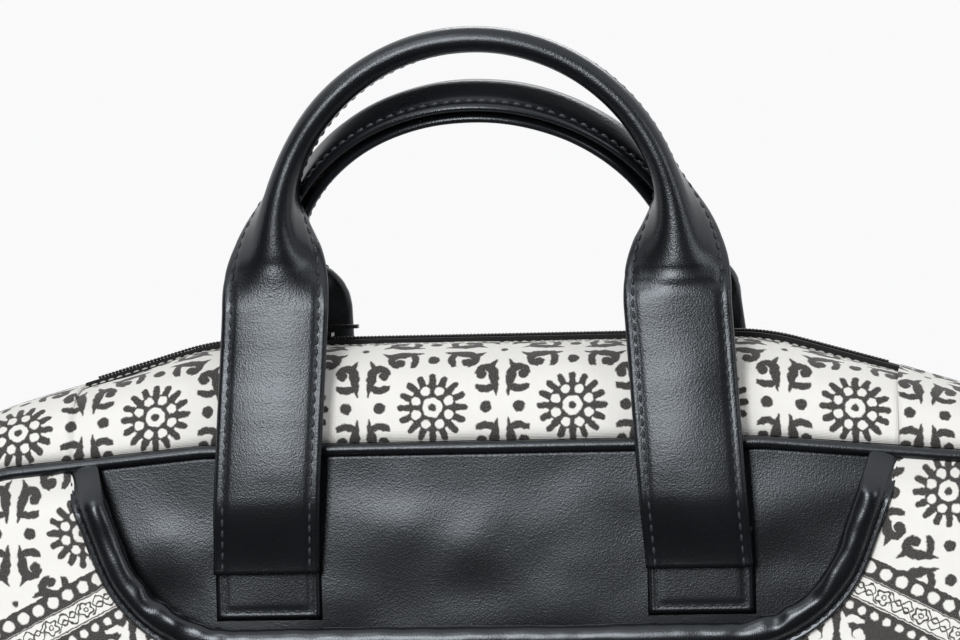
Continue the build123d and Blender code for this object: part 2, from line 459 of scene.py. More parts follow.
# Canvas and leatherette textures: scales in features per metre, and amounts
wander_scales = (420.0, 510.0)
wander_reach = 1.5 * MM
cloud_scale = 60.0
cloud_shares = (0.96, 0.955, 0.94)
fibre_scale = 2600.0
ink_share = 0.74
ink_fibre_share = 0.44
weave_pitch = 0.55 * MM
weave_depth = 0.12 * MM
pebble_scale = 1600.0
fine_scale = 2300.0
broad_scale = 30.0
broad_depth = 2.6 * MM
crease_scales = (28, 28, 210)
crease_relief = 0.6 * MM
pebble_depth = 0.16 * MM
leather_dark = (0.0035, 0.0038, 0.0048, 1)
leather_light = (0.0055, 0.006, 0.0078, 1)
rub_share = 0.13
rub_start = 0.06
grain_depth = 0.1 * MM


def canvas_coordinates(g):
    """Flat coordinates in metres, with the slight wander of a hand print."""
    uv = g.node("ShaderNodeUVMap", uv_map="metres").outputs[0]
    split = g.node("ShaderNodeSeparateXYZ")
    g.put(split.inputs[0], uv)
    u, v = split.outputs[0], split.outputs[1]
    wander_u, wander_v = (g.mul(g.sub(g.noise(uv, scale), 0.5), wander_reach) for scale in wander_scales)
    return uv, u, v, g.add(u, wander_u), g.add(v, wander_v)


def finish_canvas(g, uv, u, v, ink):
    """Canvas colour and weave under an ink mask."""
    cloud = g.noise(uv, cloud_scale, 3.0)
    fibre = g.noise(uv, fibre_scale, 1.0)
    shaded = tuple(c * share for c, share in zip(GROUND, cloud_shares)) + (1,)
    ground = g.mix(cloud, shaded, GROUND)
    worn = g.mul(g.add(ink_share, g.mul(fibre, ink_fibre_share)), ink)
    colour = g.mix(g.low(worn, 1.0), ground, INK)
    g.put(g.shader.inputs["Base Color"], colour)
    pitch = 2 * math.pi / weave_pitch
    weave = g.add(g.math("SINE", g.mul(u, pitch)), g.math("SINE", g.mul(v, pitch)))
    weave = g.add(weave, g.mul(fibre, 1.2))
    g.put(g.shader.inputs["Normal"], g.bump(weave, 0.35, weave_depth))
    g.shader.inputs["Roughness"].default_value = 0.85
    g.shader.inputs["Specular IOR Level"].default_value = 0.25
    g.shader.inputs["Sheen Weight"].default_value = 0.12
    return g.material


def print_material(name, u0, v0):
    """Canvas printed all over, with a rosette at (u0, v0)."""
    g = Graph(name)
    uv, u, v, wu, wv = canvas_coordinates(g)
    tile_u = g.div(g.sub(wu, u0), print_period)
    tile_v = g.div(g.sub(wv, v0), print_period)
    return finish_canvas(g, uv, u, v, g.inside(tile_ink(g, tile_u, tile_v), EDGE))


# Border of the pocket print: places are distances down from its upper edge
left_rosette = (-149 * MM, 254 * MM)
right_rosette = (173 * MM, 264 * MM)
dark_rosette_height = 120 * MM
border_slope = math.radians(27)
border_apex = 314 * MM
border_edge = 0.35 * MM
upper_row = (3.6 * MM, 6.4 * MM, 2.2 * MM)
lower_row = (19.2 * MM, 5.0 * MM, 1.5 * MM)
vine_start = 7.2 * MM
vine_centre = 11.6 * MM
vine_pitch = 15 * MM
vine_wave = 1.6 * MM
stalk_half = 0.4 * MM
leaf_reach = 1.3 * MM
leaf_half = 0.36 * MM
flower_radius = 2.5 * MM
flower_room = 3.2 * MM
petal_count = 5.0
petal_reach = 0.45 * MM
flower_eye = 0.8 * MM
line_half = 0.25 * MM
upper_line = 7.6 * MM
lower_line = 15.6 * MM
lower_start = 16.2 * MM
field_start = 22.0 * MM


def border_print_material(name):
    """Pocket canvas: light field at the shoulders, a dotted and flowered border, and a dark field below."""
    g = Graph(name)
    uv, u, v, wu, wv = canvas_coordinates(g)
    right = g.math("GREATER_THAN", u, 0.0)
    u0 = g.add(left_rosette[0], g.mul(right, right_rosette[0] - left_rosette[0]))
    v0 = g.add(left_rosette[1], g.mul(right, right_rosette[1] - left_rosette[1]))
    light = tile_ink(g, g.div(g.sub(wu, u0), print_period), g.div(g.sub(wv, v0), print_period))
    drop = g.sub(border_apex, wv)
    reach = g.math("ABSOLUTE", wu)
    down = g.sub(g.mul(drop, math.cos(border_slope)), g.mul(reach, math.sin(border_slope)))
    along = g.add(g.mul(drop, math.sin(border_slope)), g.mul(reach, math.cos(border_slope)))

    def strip(distance, centre, half):
        return g.sub(g.math("ABSOLUTE", g.sub(distance, centre)), half)

    def repeat(pitch):
        return g.mul(g.sub(g.math("FRACT", g.div(along, pitch)), 0.5), pitch)

    def row(centre, pitch, radius):
        """White dots in a dark strip."""
        return g.sub(1.0, g.inside(g.sub(g.size(repeat(pitch), g.sub(down, centre)), radius), border_edge))

    vine_x, vine_y = repeat(vine_pitch), g.sub(down, vine_centre)
    vine_r = g.size(vine_x, vine_y)
    petal = g.mul(g.math("COSINE", g.mul(g.math("ARCTAN2", vine_y, vine_x), petal_count)), petal_reach)
    flower = strip(g.sub(vine_r, flower_radius), petal, stalk_half)
    eye = strip(vine_r, flower_eye, line_half)
    wave = g.mul(g.math("SINE", g.mul(along, 4 * math.pi / vine_pitch)), vine_wave)
    stalk = strip(vine_y, wave, stalk_half)
    leaf = strip(g.math("ABSOLUTE", g.add(vine_y, wave)), leaf_reach, leaf_half)
    stalk = g.high(g.low(stalk, leaf), g.sub(flower_room, vine_r))
    lines = g.low(strip(down, upper_line, line_half), strip(down, lower_line, line_half))
    vine = g.inside(g.low(g.low(g.low(flower, eye), stalk), lines), border_edge * 0.6)
    dark_tile = tile_ink(g, g.div(wu, print_period), g.div(g.sub(wv, dark_rosette_height), print_period))
    ink = g.inside(light, EDGE)
    layers = ((row(*upper_row), 0.0), (vine, vine_start), (row(*lower_row), lower_start),
              (g.sub(1.0, g.inside(dark_tile, EDGE)), field_start))
    for layer, start in layers:
        share = g.inside(g.sub(start, down), border_edge * 0.4)
        ink = g.add(g.mul(ink, g.sub(1.0, share)), g.mul(layer, share))
    return finish_canvas(g, uv, u, v, ink)


def leather_material(name, roughness=0.3, grain=1.0, creases=0.0):
    """Black leatherette: fine pebble grain, blue-black colour, rubbed sheen and level creases."""
    g = Graph(name)
    where = g.node("ShaderNodeTexCoord").outputs["Object"]
    cells = g.node("ShaderNodeTexVoronoi", feature="SMOOTH_F1")
    g.put(cells.inputs["Vector"], where)
    cells.inputs["Scale"].default_value = pebble_scale
    fine = g.noise(where, fine_scale, 2.0)
    broad = g.noise(where, broad_scale, 0.5)
    height = g.add(g.mul(cells.outputs[0], 0.8), g.mul(fine, 0.6))
    normal = g.bump(broad, 0.5, broad_depth)
    if creases:
        squeeze = g.node("ShaderNodeMapping")
        g.put(squeeze.inputs["Vector"], where)
        squeeze.inputs["Scale"].default_value = crease_scales
        normal = g.bump(g.noise(squeeze.outputs[0], 1.0, 2.0), creases, crease_relief, normal)
    g.put(g.shader.inputs["Normal"], g.bump(height, 0.4 * grain, pebble_depth, normal))
    g.put(g.shader.inputs["Base Color"], g.mix(broad, leather_dark, leather_light))
    rubbed = g.add(g.mul(broad, 0.6), g.mul(fine, 0.4))
    rough = g.add(roughness - rub_start, g.mul(rubbed, rub_share))
    g.put(g.shader.inputs["Roughness"], rough)
    g.shader.inputs["Specular IOR Level"].default_value = 0.62
    g.shader.inputs["Specular Tint"].default_value = (0.86, 0.93, 1.0, 1)
    return g.material


def plain_material(name, colour, roughness, metallic=0.0, grain_scale=900.0, grain=0.2):
    """Simple finish with a fine mottled grain."""
    g = Graph(name)
    where = g.node("ShaderNodeTexCoord").outputs["Object"]
    grains = g.noise(where, grain_scale, 3.0)
    darker = tuple(c * 0.75 for c in colour) + (1,)
    g.put(g.shader.inputs["Base Color"], g.mix(grains, darker, tuple(colour) + (1,)))
    g.put(g.shader.inputs["Normal"], g.bump(grains, grain, grain_depth))
    g.put(g.shader.inputs["Roughness"], g.add(roughness - 0.05, g.mul(grains, 0.1)))
    g.shader.inputs["Metallic"].default_value = metallic
    g.shader.inputs["Specular IOR Level"].default_value = 0.3
    return g.material


leather = leather_material("leatherette")
strap_leather = leather_material("strap_leatherette", roughness=0.29, creases=0.1)
smooth_leather = leather_material("binding_leatherette", roughness=0.27, grain=0.45)
thread = plain_material("thread", (0.035, 0.039, 0.047), 0.36, grain_scale=2500.0)
canvas_thread = plain_material("canvas_thread", (0.5, 0.5, 0.48), 0.8, grain_scale=2500.0)
tape_cloth = plain_material("zip_tape_cloth", (0.012, 0.012, 0.012), 0.8, grain_scale=1800.0, grain=0.5)
coil_nylon = plain_material("coil_nylon", (0.018, 0.018, 0.019), 0.38)
enamel = plain_material("black_enamel", (0.03, 0.03, 0.033), 0.3, metallic=0.6)
padding_cloth = plain_material("padding_cloth", (0.07, 0.07, 0.075), 0.9, grain_scale=1500.0, grain=0.5)
board_plastic = plain_material("board_plastic", (0.12, 0.12, 0.12), 0.6)
cord_cotton = plain_material("cord_cotton", (0.6, 0.58, 0.52), 0.9, grain_scale=1500.0, grain=0.6)


# Stitching

stitch_rise = 0.55
stitch_sink = 0.15
end_swell = 0.06


def stitches(name, path, normals, pitch, length, radius, body):
    """Row of sewn stitches along a path of points, lying on the surface with these normals."""
    lengths = travelled(path)
    ring, steps = 6, 5
    vertices, faces, i = [], [], 0
    for k in range(int(lengths[-1] / pitch)):
        want = (k + 0.5) * pitch
        while i < len(path) - 2 and lengths[i + 1] < want:
            i += 1
        share = (want - lengths[i]) / max(lengths[i + 1] - lengths[i], TINY)
        centre = path[i].lerp(path[i + 1], share)
        up = normals[i].lerp(normals[i + 1], share).normalized()
        along = (path[i + 1] - path[i]).normalized()
        side = along.cross(up).normalized()
        first = len(vertices)
        for step in range(steps):
            t = 2 * step / (steps - 1) - 1
            swell = math.sqrt(max(end_swell, 1 - t * t))
            middle = centre + along * (t * length / 2) + up * radius * (stitch_rise * swell - stitch_sink)
            for r in range(ring):
                turn = 2 * math.pi * r / ring
                vertices.append(middle + (side * math.cos(turn) + up * math.sin(turn)) * radius * swell)
        faces += tube_faces(steps, ring, first)
    return link(mesh_object(name, vertices, faces, thread), body, "leatherette")


# Cloth body

section_pull = 0.2
section_rise = 0.78
section_squareness = 2.8
hem_drop = 1.6 * MM
canvas_thickness = 1.6 * MM
leather_thickness = 1.4 * MM
slack_level = 0.3
gusset_slack = 0.9 * MM
gusset_slack_size = 34 * MM
side_slack = 1.2 * MM
side_slack_size = 45 * MM
hem_pitch = 3.4 * MM
hem_stitch = 2.5 * MM
hem_thread = 0.32 * MM
hem_lift = 0.15 * MM
top_columns = 141
top_rows = 27
side_columns = 90
side_rows = 19
slot_rows = 6


def section_point(p, q, share, side):
    """Point of the section from the piping p up to the ridge q: square at the front, rounder behind."""
    if side < 0:
        power = 2 / section_squareness
        flat = p.lerp(q, math.sin(share * math.pi / 2) ** power)
        inward = 1 - max(0.0, math.cos(share * math.pi / 2)) ** power
        return Vector((flat.x, side * (half_depth + (zip_slot_half - half_depth) * inward), flat.y))
    y_control = half_depth + (zip_slot_half - half_depth) * section_pull
    control = p.lerp(q, section_rise)
    start, middle, end = (1 - share) ** 2, 2 * share * (1 - share), share ** 2
    flat = p * start + control * middle + q * end
    return Vector((flat.x, side * (half_depth * start + y_control * middle + zip_slot_half * end), flat.y))


def ruffle(obj, amount, scale, seed):
    """Uneven softness of sewn cloth: moves each point along its normal."""
    normals = [n.vector.copy() for n in obj.data.vertex_normals]
    for vertex, normal in zip(obj.data.vertices, normals):
        vertex.co += normal * amount * (wobble(vertex.co, scale, seed) - slack_level)
    return obj


def top_gusset(name, side, material):
    """Printed canvas from the piping up to the zip, with a folded hem along the tape."""
    xs = spread(-top_panel_half, top_panel_half, top_columns)
    columns = []
    for x in xs:
        p = Vector((x, height_at(panel_outline, x, True)))
        q = Vector((x, height_at(ridge_outline, x, True) - hem_drop))
        columns.append([section_point(p, q, share, side) for share in spread(0.0, 1.0, top_rows)])
    across = [travelled(column) for column in columns]
    uvs = [[(x, v) for v in lengths] for x, lengths in zip(xs, across)]
    obj = sheet_piece(name, columns, uvs, material, canvas_thickness)
    face_outward(obj, Vector((0, side, 0.8)))
    ruffle(obj, gusset_slack, gusset_slack_size, 3 + side)
    seam = [column[-4].lerp(column[-3], 0.5) for column in columns]
    up = Vector((0, side * 0.55, 0.83)).normalized()
    line = stitches(name + "_stitches", [p + up * hem_lift for p in seam], [up] * len(seam),
                    hem_pitch, hem_stitch, hem_thread, "bag")
    line.data.materials[0] = canvas_thread
    return link(obj, "bag", "print_canvas", name)


def side_gusset(name, sign, material):
    """Printed canvas round a shoulder and down the side, from one piping to the other."""
    ends = []
    for outline in (panel_outline, ridge_outline):
        start = Vector((top_panel_half, height_at(outline, top_panel_half, True)))
        half = max(p.x for p in outline)
        ends.append(cut_outline(outline, start, Vector((half, base_wrap)), side_columns))
    columns, us, travel = [], [], top_panel_half
    for i, (p, q) in enumerate(zip(*ends)):
        if i:
            travel += (p - ends[0][i - 1]).length
        us.append(travel)
        column = [section_point(p, q, share, -1) for share in spread(0.0, 1.0, side_rows)]
        column += [Vector((q.x, y, q.y)) for y in spread(-zip_slot_half, zip_slot_half, slot_rows)[1:-1]]
        column += [section_point(p, q, share, 1) for share in spread(1.0, 0.0, side_rows)]
        columns.append([Vector((sign * v.x, v.y, v.z)) for v in column])
    across = [travelled(column) for column in columns]
    uvs = [[(sign * u, v) for v in lengths] for u, lengths in zip(us, across)]
    obj = sheet_piece(name, columns, uvs, material, canvas_thickness)
    face_outward(obj, Vector((sign, 0, 0.2)))
    ruffle(obj, side_slack, side_slack_size, 6 + sign)
    return link(obj, "bag", "print_canvas", name)


base_columns = 40
base_rows = 25
base_swell_share = 0.25


def base_cover(name):
    """Leatherette under the bag, turned up round the corners."""
    half = max(p.x for p in panel_outline)
    right = cut_outline(panel_outline, Vector((half, base_wrap)), Vector((0.0, 0.0)), base_columns)
    path = [Vector((-p.x, p.y)) for p in right] + list(reversed(right[:-1]))
    columns = []
    for p in path:
        lift = smooth_step(p.y / base_wrap) * (ridge_half_width - half_width) * base_swell_share
        column = []
        for y in spread(-half_depth, half_depth, base_rows):
            swell = 1 - (abs(y) / half_depth) ** 2
            column.append(Vector((p.x + math.copysign(lift * swell, p.x), y, p.y)))
        columns.append(column)
    across = [travelled(column) for column in columns]
    uvs = [[(p.x, v) for v in lengths] for p, lengths in zip(path, across)]
    obj = sheet_piece(name, columns, uvs, leather, leather_thickness)
    face_outward(obj, Vector((0, 0, -1)))
    return link(obj, "bag", "leatherette", name)


panel_tuck = 2.6 * MM
panel_columns = 110
panel_rows = 80
seam_reach = 34 * MM
hollow_size = 36 * MM
hollow_squeeze = 1.3
dimple_size = 15 * MM
hollow_level = 0.5
hollow_share = 0.9
dimple_share = 0.25
sink_share = 0.8
front_sag = 1.9 * MM
back_sag = 1.7 * MM
tucked_outline = body_outline(half_width, panel_height - shoulder_drop, panel_height, panel_tuck)
tucked_half = half_width - panel_tuck


def edge_room(x, z):
    """Rough distance from a place on the front to the piping seam."""
    x = max(-tucked_half, min(tucked_half, x))
    low, high = height_at(tucked_outline, x, False), height_at(tucked_outline, x, True)
    return min(tucked_half - abs(x), z - low, high - z)


def flat_panel(name, side, material, slot, sag, seed):
    """Front or back panel, drawn in at its seams and slack between them, with soft hollows."""
    xs = [tucked_half * math.sin(t) for t in spread(-math.pi / 2, math.pi / 2, panel_columns)]
    columns, uvs = [], []
    for x in xs:
        low, high = height_at(tucked_outline, x, False), height_at(tucked_outline, x, True)
        column, uv = [], []
        for z in spread(low, high, panel_rows):
            room = smooth_step(edge_room(x, z) / seam_reach)
            hollow = hollow_level + hollow_share * wobble((x, 0, z * hollow_squeeze), hollow_size, seed)
            hollow += dimple_share * wobble((x, 0, z), dimple_size, seed + 1)
            sink = (1 - room) + room * sink_share * min(1.0, max(0.0, hollow))
            column.append(Vector((x, side * (panel_face - sag * sink), z)))
            uv.append((x, z))
        columns.append(column)
        uvs.append(uv)
    obj = sheet_piece(name, columns, uvs, material, leather_thickness)
    face_outward(obj, Vector((0, side, 0)))
    return link(obj, "bag", slot, name)


# Front pocket

mouth_top = height_at(tucked_outline, mouth_top_half, True)
mouth_low = panel_height - mouth_drop
mouth = rounded_path([(-mouth_top_half, mouth_top), (-mouth_bottom_half, mouth_low),
                      (mouth_bottom_half, mouth_low), (mouth_top_half, mouth_top)], mouth_corner)


def mouth_height(x):
    for a, b in zip(mouth, mouth[1:]):
        if a.x <= x <= b.x and b.x > a.x:
            return a.y + (b.y - a.y) * (x - a.x) / (b.x - a.x)
    return mouth_top


pocket_roundness = 20 * MM
pocket_top_ease = 16 * MM
pocket_slack = 0.8 * MM
pocket_slack_level = 0.6
slack_reach = 40 * MM
slack_size = 38 * MM
outer_columns = 24
steep_columns = 46
middle_columns = 56
pocket_rows = 70
rim_crowding = 1.5


def pocket_relief(x, z):
    """How far the pocket cloth stands off the front panel; it comes out gently from under the top piping."""
    share = min(1.0, max(0.0, edge_room(x, z)) / pocket_roundness)
    top_room = height_at(tucked_outline, max(-tucked_half, min(tucked_half, x)), True) - z
    ease = math.sqrt(smooth_step(top_room / pocket_top_ease))
    return pocket_depth * ease * math.sqrt(1 - (1 - share) ** 2)


def pocket(name, material):
    """Printed pocket front with a scooped mouth, full and slightly slack."""
    outer_turns = spread(math.pi / 2, math.asin(mouth_top_half / tucked_half), outer_columns)
    outer = [tucked_half * math.sin(t) for t in outer_turns]
    steep = spread(mouth_top_half, mouth_bottom_half - mouth_corner * 0.5, steep_columns)
    right = outer[:-1] + steep
    xs = [-x for x in right] + spread(-right[-1], right[-1], middle_columns)[1:-1] + list(reversed(right))
    columns, uvs = [], []
    for x in xs:
        low, high = height_at(tucked_outline, x, False), height_at(tucked_outline, x, True)
        if abs(x) < mouth_top_half:
            high = mouth_height(x)
        column, uv = [], []
        for t in spread(0.0, 1.0, pocket_rows):
            z = low + (high - low) * (1 - (1 - t) ** rim_crowding)
            slack = pocket_slack * smooth_step(edge_room(x, z) / slack_reach)
            stand = pocket_relief(x, z) + slack * (wobble((x, 0, z), slack_size, 11) - pocket_slack_level)
            column.append(Vector((x, -panel_face - stand, z)))
            uv.append((x, z))
        columns.append(column)
        uvs.append(uv)
    obj = sheet_piece(name, columns, uvs, material, canvas_thickness)
    face_outward(obj, Vector((0, -1, 0)))
    return link(obj, "bag", "print_canvas", name)


binding_stand = 0.7 * MM
binding_taper = 16 * MM
flange_edge = 6.9 * MM
flange_seam = 4.9 * MM
roll_half_width = 5.2 * MM
roll_half_depth = 4.1 * MM
roll_offset = -1.3 * MM
flange_half = 0.9 * MM
roll_steps = 20
roll_start_degrees = 8
roll_turn_degrees = 344
crumple_reach = 22 * MM
crumple_size = 8 * MM
crumple_wrap = 5 * MM
crumple_swell = 1.5 * MM
crumple_level = 0.2
fine_swell = 0.3 * MM
swell_size = 26 * MM
swell_wrap = 3 * MM
broad_swell = 0.5 * MM
end_share = 0.35
seam_index = 4
path_step = 1.0 * MM
binding_sewing = (4.2 * MM, 2.9 * MM, 0.4 * MM)


def binding_section():
    """Section of the binding, outward and forward of its middle: a thin sewn flange, then a padded roll."""
    points = [(flange_edge - flange_half, -flange_half), (flange_edge, 0.0),
              (flange_edge - flange_half, flange_half), (flange_seam + flange_half, flange_half),
              (flange_seam, flange_half * 0.5)]
    for degrees in spread(roll_start_degrees, roll_start_degrees + roll_turn_degrees, roll_steps + 1):
        turn = math.radians(degrees)
        points.append((roll_offset + roll_half_width * math.cos(turn), roll_half_depth * math.sin(turn)))
    return points


def binding(name):
    """Padded leather roll sewn round the pocket mouth, crumpled where it turns the corners."""
    path = evenly(mouth, path_step)
    section = binding_section()
    ring = len(section)
    forward = Vector((0, -1, 0))
    vertices, seam, seam_up = [], [], []
    for i, p in enumerate(path):
        tangent = (path[min(i + 1, len(path) - 1)] - path[max(i - 1, 0)]).normalized()
        outward = Vector((tangent.y, 0, -tangent.x))
        taper = smooth_step((mouth_top - p.y) / binding_taper)
        stand = pocket_relief(p.x, p.y) + binding_stand
        centre = Vector((p.x, -panel_face - stand, p.y))
        bend = bump_at(abs(p.x), mouth_bottom_half - mouth_corner * 0.25, crumple_reach)
        for r, (out, front) in enumerate(section):
            inner = smooth_step((flange_seam - out) / (2 * roll_half_width))
            around = math.atan2(front, out - roll_offset)
            fine = wobble((p.x, around * crumple_wrap, p.y), crumple_size, 21)
            broad = wobble((p.x, around * swell_wrap, p.y), swell_size, 22)
            away = (outward * math.cos(around) + forward * math.sin(around)) * inner
            swell = broad_swell * broad + (fine_swell + crumple_swell * bend) * (fine - crumple_level)
            front *= end_share + (1 - end_share) * taper
            vertices.append(centre + outward * out + forward * front + away * swell * taper)
            if r == seam_index:
                seam.append(vertices[-1].copy())
                seam_up.append(forward)
    obj = mesh_object(name, vertices, tube_faces(len(path), ring, turned=True), smooth_leather)
    fix_normals(obj)
    stitches(name + "_stitches", seam, seam_up, *binding_sewing, "bag")
    return link(obj, "bag", "leatherette", "pocket_binding")


# Handles

strap_pad = 2.3 * MM
strap_edge = 1.5 * MM
stitch_inset = 3.6 * MM
fold_bend_half = 4.2 * MM
fold_bend_slack = 6 * MM
strap_samples = 31
rise_samples = 80
arc_samples = 130
fold_ease = 0.85
groove_half = 1.0 * MM
strap_groove = 0.4 * MM
strap_crown = 1.2 * MM
strap_softness = 0.18 * MM
softness_size = 20 * MM
bow_most = 6.0 * MM
bow_start_share = 0.15
bow_lift = 28 * MM
bow_belly = 262 * MM
bow_top = 347 * MM
lean_run = 14 * MM
strap_sewing = (4.4 * MM, 3.3 * MM, 0.62 * MM)
patch_sewing = (4.6 * MM, 3.3 * MM, 0.42 * MM)
patch_groove_half = 1.2 * MM

# Creases of the straps: height in the middle, rise towards the edges, half width, depth
right_creases = ((347 * MM, -2 * MM, 1.0 * MM, 0.5 * MM), (341 * MM, 3 * MM, 1.3 * MM, 0.4 * MM))
left_creases = ((352 * MM, -5 * MM, 2.0 * MM, 0.35 * MM),)


def rolled(edge):
    """Share of the full thickness at this distance from a rolled edge."""
    return math.sqrt(max(0.0, 1 - max(0.0, 1 - edge / strap_edge) ** 2))


def strap_offset(q, side):
    """Half thickness of the strap at q across it: padded middle, sewn groove, rolled edge."""
    edge = strap_width / 2 - abs(q)
    if side < 0:
        return strap_thickness / 2 * rolled(edge)
    groove = strap_groove * bump_at(edge, stitch_inset, groove_half)
    crown = strap_crown * (2 * q / strap_width) ** 2
    return (strap_pad - groove - crown) * rolled(edge)


def fold_line(q, fold):
    """Place across and back of the strap's middle line at q, and its normal's, for a fold from 0 to 1."""
    bend = fold_bend_half + (1 - fold) * fold_bend_slack
    steps = 16
    across = back = 0.0
    for k in range(steps):
        at = abs(q) * (k + 0.5) / steps
        turn = fold * math.pi / 2 * min(1.0, at / bend)
        across += math.cos(turn) * abs(q) / steps
        back += math.sin(turn) * abs(q) / steps
    turn = fold * math.pi / 2 * min(1.0, abs(q) / bend)
    sign = math.copysign(1.0, q)
    return across * sign, back, math.sin(turn) * sign, math.cos(turn)


def handle_stations():
    """Ridge line of one handle, from one strap end over the arch to the other: (place, radial, fold)."""
    stations = []
    rise = spread(strap_end, arch_centre, rise_samples)
    arc = spread(0.0, math.pi, arc_samples)
    fold_full = arch_centre - fold_start + arch_radius * fold_end_angle

    def fold_at(travel):
        return smooth_step(travel / fold_full) ** fold_ease

    def strap_x(z):
        """Middle of the strap at the height z; the straps close in towards the arch."""
        share = min(1.0, (z - strap_end) / (fold_start - strap_end))
        return handle_spacing + (arch_radius - handle_spacing) * share

    for z in rise[:-1]:
        stations.append((Vector((strap_x(z), 0, z)), Vector((1, 0, 0)), fold_at(z - fold_start)))
    for turn in arc:
        radial = Vector((math.cos(turn), 0, math.sin(turn)))
        place = Vector((0, 0, arch_centre)) + radial * arch_radius
        travel = arch_centre - fold_start + arch_radius * min(turn, math.pi - turn)
        stations.append((place, radial, fold_at(travel)))
    for z in reversed(rise[:-1]):
        stations.append((Vector((-strap_x(z), 0, z)), Vector((-1, 0, 0)), fold_at(z - fold_start)))
    return stations


def crease_depth(x, z, q):
    """Creases pressed into the straps where they start to fold."""
    bow = (2 * q / strap_width) ** 2
    depth = 0.0
    for height, rise, half, most in right_creases if x > 0 else left_creases:
        depth += most * bump_at(z, height + rise * bow, half)
    return depth


def strap_bow(z):
    """How far a strap stands out: from its sewn end out over the piping, then leaning back up to the fold."""
    rise = bow_start_share + (1 - bow_start_share) * smooth_step((z - strap_end) / bow_lift)
    return bow_most * rise * (1 - smooth_step((z - bow_belly) / (bow_top - bow_belly)))


def handle_loop(place, radial, fold, seed):
    """One closed ring of points round the strap, on its front side first, and its two stitch places."""
    front = Vector((0, -1, 0))
    ridge_y = -strap_face + strap_thickness / 2
    half = strap_width / 2

    def middle_at(q):
        """Place and normal of the strap's middle line at q."""
        across, back, lean_across, lean_front = fold_line(q, fold)
        place_y = ridge_y + back - strap_bow(place.z)
        return place + radial * across + Vector((0, place_y, 0)), radial * lean_across + front * lean_front

    show, hidden, marks = [], [], []
    for turn in spread(-math.pi / 2, math.pi / 2, strap_samples):
        q = half * math.sin(turn)
        middle, normal = middle_at(q)
        soft = strap_softness * wobble((place.x, q, place.z), softness_size, seed)
        crease = crease_depth(place.x, place.z, q) * (1 - fold)
        show.append(middle + normal * (strap_offset(q, 1) + soft - crease))
        hidden.append(middle - normal * strap_offset(q, -1))
    for q in (stitch_inset - half, half - stitch_inset):
        middle, normal = middle_at(q)
        marks.append((middle + normal * strap_offset(q, 1), normal))
    return show + list(reversed(hidden))[1:-1], marks


def handle(name, body, side):
    """Leather strap doubled over into a rolled grip; the back one bends and leans towards the front one."""
    seed = 31 if side < 0 else 32

    def placed(point, turn):
        """The front handle's point, mirrored to the back and turned about its bend."""
        if side < 0:
            return point
        point = Vector((point.x, -point.y, point.z))
        hinge = Vector((0, strap_plane - lean_radius, lean_height))
        return hinge + Matrix.Rotation(turn, 3, "X") @ (point - hinge)

    loops, seams = [], ([], [])
    for place, radial, fold in handle_stations():
        loop, marks = handle_loop(place, radial, fold, seed)
        turn = 0.0
        if side > 0:
            turn = back_lean * smooth_step((place.z - lean_height + lean_run / 2) / lean_run)
        loops.append([placed(p, turn) for p in loop])
        for seam, (at, normal) in zip(seams, marks):
            up = placed(at + normal, turn) - placed(at, turn)
            seam.append((placed(at, turn), up))
    ring = len(loops[0])
    vertices = [p for loop in loops for p in loop]
    obj = mesh_object(name, vertices, tube_faces(len(loops), ring, turned=True), strap_leather)
    fix_normals(obj)
    for label, seam in zip(("inner", "outer"), seams):
        line, ups = zip(*seam)
        stitches(f"{name}_stitches_{label}", line, ups, *strap_sewing, body)
    return link(obj, body, "leatherette", name)


# Strap patches

patch_columns = 33
patch_rows = 27


def patch(name, node, side):
    """Padded leather piece under a strap's end, sewn round its edge."""
    low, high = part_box(node)
    y_back, y_face = sorted((low.y, high.y), key=abs)
    xs, zs = spread(low.x, high.x, patch_columns), spread(low.z, high.z, patch_rows)
    columns = []
    for x in xs:
        column = []
        for z in zs:
            edge = min(x - low.x, high.x - x, z - low.z, high.z - z)
            groove = strap_groove * bump_at(edge, stitch_inset, patch_groove_half)
            stand = (abs(y_face - y_back) - groove) * rolled(edge)
            column.append(Vector((x, y_back + side * stand, z)))
        columns.append(column)
    vertices = [p for column in columns for p in column]
    faces = grid_faces(len(xs), len(zs))
    rim = list(range(len(zs)))
    rim += [r * len(zs) + len(zs) - 1 for r in range(1, len(xs))]
    rim += [(len(xs) - 1) * len(zs) + c for c in reversed(range(len(zs) - 1))]
    rim += [r * len(zs) for r in reversed(range(1, len(xs) - 1))]
    faces.append(tuple(rim))
    obj = mesh_object(name, vertices, faces, leather)
    fix_normals(obj)
    up = Vector((0, side, 0))
    inset = stitch_inset
    y_seam = y_back + side * (abs(y_face - y_back) - strap_groove)
    corners = [(low.x + inset, high.z - inset), (low.x + inset, low.z + inset),
               (high.x - inset, low.z + inset), (high.x - inset, high.z - inset)]
    line = evenly([Vector((x, y_seam, z)) for x, z in corners], path_step)
    stitches(name + "_stitches", line, [up] * len(line), *patch_sewing, "bag")
    return link(obj, "bag", "leatherette", node)


# Coil zip

coil_pitch = 1.35 * MM
coil_rise = 0.15 * MM
coil_arch = 0.42 * MM
coil_gap = 0.25 * MM
wire_half_width = 0.62 * MM
wire_half_height = 0.52 * MM
wire_end_share = 0.62


